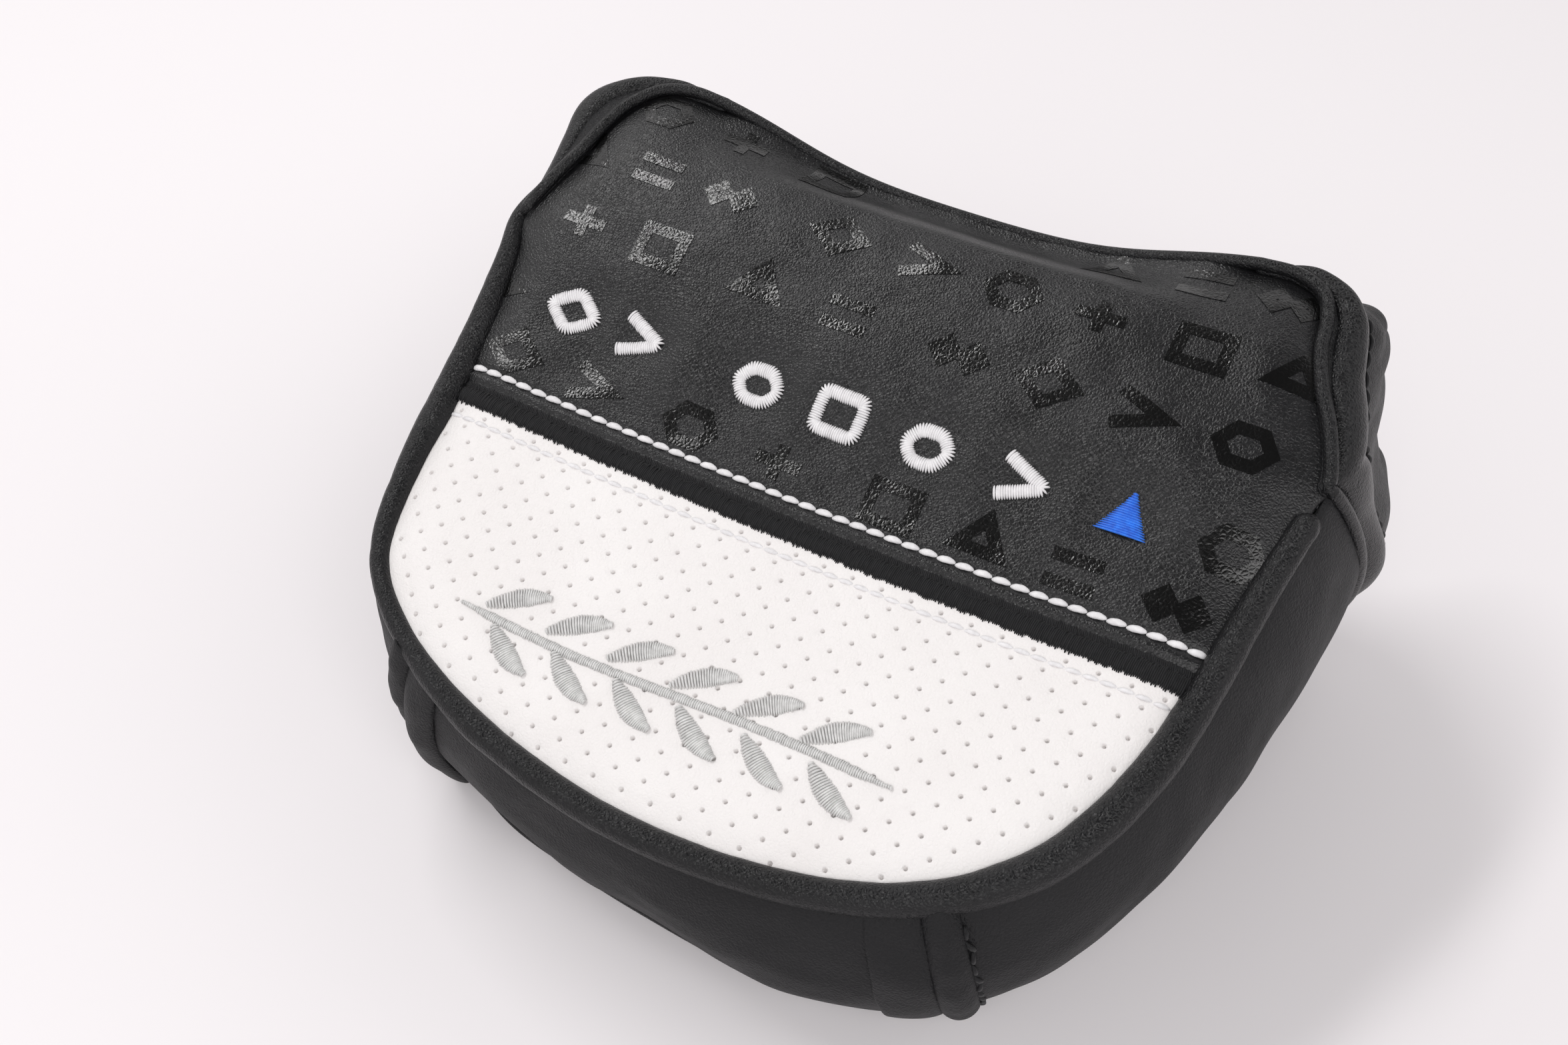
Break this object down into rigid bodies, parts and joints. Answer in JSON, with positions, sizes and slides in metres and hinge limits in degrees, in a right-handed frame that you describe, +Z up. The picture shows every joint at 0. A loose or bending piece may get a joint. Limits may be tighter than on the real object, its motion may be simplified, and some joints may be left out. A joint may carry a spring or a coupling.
{
  "type": "putter head cover",
  "caption": "Padded leather head cover for a mallet putter: crowned top with a perforated front patch, gathered collars and a magnetic flap at the mouth.",
  "frame": {"origin": "under the middle of the cover's bounding box, on the surface that it lies on", "axes": "+Z up; -Y the rounded front, +Y the mouth; X across, and the cover is the same on both sides of X = 0"},
  "size_m": [0.1674, 0.1344, 0.0791],
  "materials": {
    "black_leather": "fine-grained satin polyurethane leather",
    "white_leather": "perforated satin polyurethane leather",
    "black_thread": "satin-stitched polyester thread",
    "white_thread": "satin-stitched polyester thread",
    "silver_thread": "satin-stitched polyester thread",
    "blue_thread": "satin-stitched polyester thread",
    "foam": "closed-cell foam sheet",
    "lining": "short plush",
    "piping_cord": "cotton cord",
    "elastic": "woven elastic",
    "magnet": "nickel plated"
  },
  "bodies": {
    "cover": {"accent_band": "black_thread", "base_piping": "black_leather", "binding_stitch_left": "black_thread", "binding_stitch_right": "black_thread", "bottom_foam": "foam", "bottom_lining": "lining", "bottom_panel": "black_leather", "collar_binding_left": "black_leather", "collar_binding_right": "black_leather", "collar_elastic_left": "elastic", "collar_elastic_right": "elastic", "collar_left": "black_leather", "collar_lining_left": "lining", "collar_lining_right": "lining", "collar_right": "black_leather", "embroidered_mark_1": "white_thread", "embroidered_mark_2": "white_thread", "embroidered_mark_3": "white_thread", "embroidered_mark_4": "white_thread", "embroidered_mark_5": "white_thread", "embroidered_mark_6": "white_thread", "embroidered_mark_7": "blue_thread", "front_piping": "black_leather", "front_piping_cord": "piping_cord", "gusset_foam_front": "foam", "gusset_foam_left": "foam", "gusset_foam_right": "foam", "gusset_front": "black_leather", "gusset_left": "black_leather", "gusset_lining_front": "lining", "gusset_lining_left": "lining", "gusset_lining_right": "lining", "gusset_right": "black_leather", "lip_lining": "lining", "lip_magnet_left": "magnet", "lip_magnet_right": "magnet", "mouth_piping": "black_leather", "patch_emblem": "silver_thread", "patch_stitch": "white_thread", "perforated_patch": "white_leather", "seam_ridge_left": "black_leather", "seam_ridge_right": "black_leather", "seam_stitch_left": "black_thread", "seam_stitch_right": "black_thread", "seam_strip_left": "black_leather", "seam_strip_right": "black_leather", "top_foam": "foam", "top_lining": "lining", "top_panel": "black_leather", "topstitch": "white_thread", "upper_lip": "black_leather"},
    "flap": {"closure_flap": "black_leather", "flap_lining": "lining", "flap_magnet_left": "magnet", "flap_magnet_right": "magnet"}
  },
  "joints": [
    {"name": "flap_hinge", "type": "hinge", "parent": "cover", "child": "flap", "pos_m": [0, 0.05422, 0.002], "axis": [-1, 0, 0], "range_deg": [0, 90]}
  ]
}
